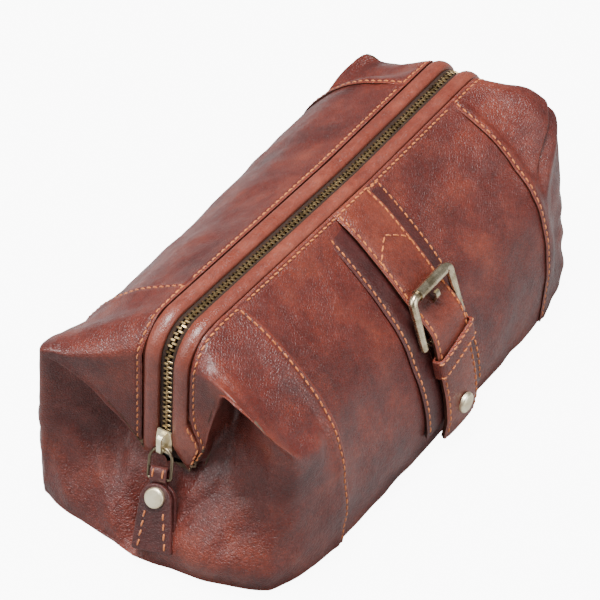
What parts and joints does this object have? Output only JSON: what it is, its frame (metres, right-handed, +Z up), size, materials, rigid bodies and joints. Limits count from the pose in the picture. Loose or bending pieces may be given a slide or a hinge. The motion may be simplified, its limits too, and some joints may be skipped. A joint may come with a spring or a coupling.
{
  "type": "shaving kit bag",
  "caption": "Framed leather wash bag with a zip running over the top and down both ends, hinged frames, corner ears, a buckled strap and a pull tab.",
  "frame": {"origin": "centre of the base, on the ground", "axes": "+Z up; +X along the bag, away from the zip pull; -Y is the front, which carries the buckle"},
  "size_m": [0.2978, 0.152, 0.1078],
  "materials": {
    "leather_body": "pull-up grained leather, semi-gloss, darker along seams and edges",
    "leather_trim": "smooth padded leather piping, semi-gloss",
    "leather_strap": "grained strap leather with orange thread, semi-gloss",
    "lining_fabric": "woven twill, matt",
    "stiffener_board": "matt fibre board",
    "zip_tape": "herringbone woven tape, matt",
    "zip_metal": "antiqued, darkened in the recesses",
    "antique_brass": "antiqued satin, worn bright on raised edges",
    "spring_steel": "plain drawn steel"
  },
  "bodies": {
    "root": {"front_panel": "leather_body", "rear_panel": "leather_body", "front_left_corner": "leather_body", "rear_left_corner": "leather_body", "front_right_corner": "leather_body", "rear_right_corner": "leather_body", "base_panel": "leather_body", "base_board": "stiffener_board", "lining": "lining_fabric", "strap_backing": "leather_strap", "strap": "leather_strap", "buckle_chape": "leather_trim", "strap_rivet": "antique_brass", "strap_rivet_back": "antique_brass", "zip_bottom_stop": "zip_metal"},
    "front_jaw": {"front_frame": "spring_steel", "front_binding": "leather_trim", "front_zip_tape": "zip_tape", "front_zip_teeth": "zip_metal"},
    "rear_jaw": {"rear_frame": "spring_steel", "rear_binding": "leather_trim", "rear_zip_tape": "zip_tape", "rear_zip_teeth": "zip_metal", "pivot_pins": "spring_steel"},
    "slider": {"slider_body": "antique_brass", "slider_bail": "antique_brass"},
    "ring": {"pull_ring": "antique_brass"},
    "tab": {"pull_front": "leather_strap", "pull_back": "leather_strap", "pull_loop": "leather_strap", "pull_rivet": "antique_brass", "pull_rivet_back": "antique_brass"},
    "keeper": {"keeper_loop": "leather_strap"},
    "buckle": {"buckle_frame": "antique_brass"},
    "roller": {"buckle_roller": "antique_brass"},
    "prong": {"buckle_prong": "antique_brass"}
  },
  "joints": [
    {"name": "front_jaw_hinge", "type": "hinge", "parent": "root", "child": "front_jaw", "pos_m": [0, 0, 0.04], "axis": [1, 0, 0], "range_deg": [0, 25], "deforming": ["front_panel", "front_left_corner", "front_right_corner", "strap", "strap_backing"]},
    {"name": "rear_jaw_hinge", "type": "hinge", "parent": "root", "child": "rear_jaw", "pos_m": [0, 0, 0.04], "axis": [-1, 0, 0], "range_deg": [0, 25], "deforming": ["rear_panel", "rear_left_corner", "rear_right_corner"]},
    {"name": "zip_slide", "type": "slide", "parent": "root", "child": "slider", "axis": [0, 0, 1], "range_m": [0, 0.028], "deforming": ["front_zip_teeth", "rear_zip_teeth"]},
    {"name": "pull_ring_hinge", "type": "hinge", "parent": "slider", "child": "ring", "pos_m": [-0.127, 0, 0.0469], "axis": [-0.1056, 0.9744, -0.1986], "range_deg": [0, 100]},
    {"name": "pull_tab_hinge", "type": "hinge", "parent": "ring", "child": "tab", "pos_m": [-0.13322, -0.00306, 0.0352], "axis": [-0.1056, 0.9744, -0.1986], "range_deg": [0, 40]},
    {"name": "buckle_hinge", "type": "hinge", "parent": "root", "child": "buckle", "pos_m": [0, -0.06345, 0.0548], "axis": [1, 0, 0], "range_deg": [0, 50]},
    {"name": "roller_spin", "type": "hinge", "parent": "buckle", "child": "roller", "pos_m": [0, -0.0552, 0.0776], "axis": [1, 0, 0], "continuous": true},
    {"name": "prong_hinge", "type": "hinge", "parent": "root", "child": "prong", "pos_m": [0, -0.06345, 0.0548], "axis": [1, 0, 0], "range_deg": [0, 3]},
    {"name": "keeper_slide", "type": "slide", "parent": "root", "child": "keeper", "axis": [0, -0.2588, -0.9659], "range_m": [0, 0.006]}
  ]
}
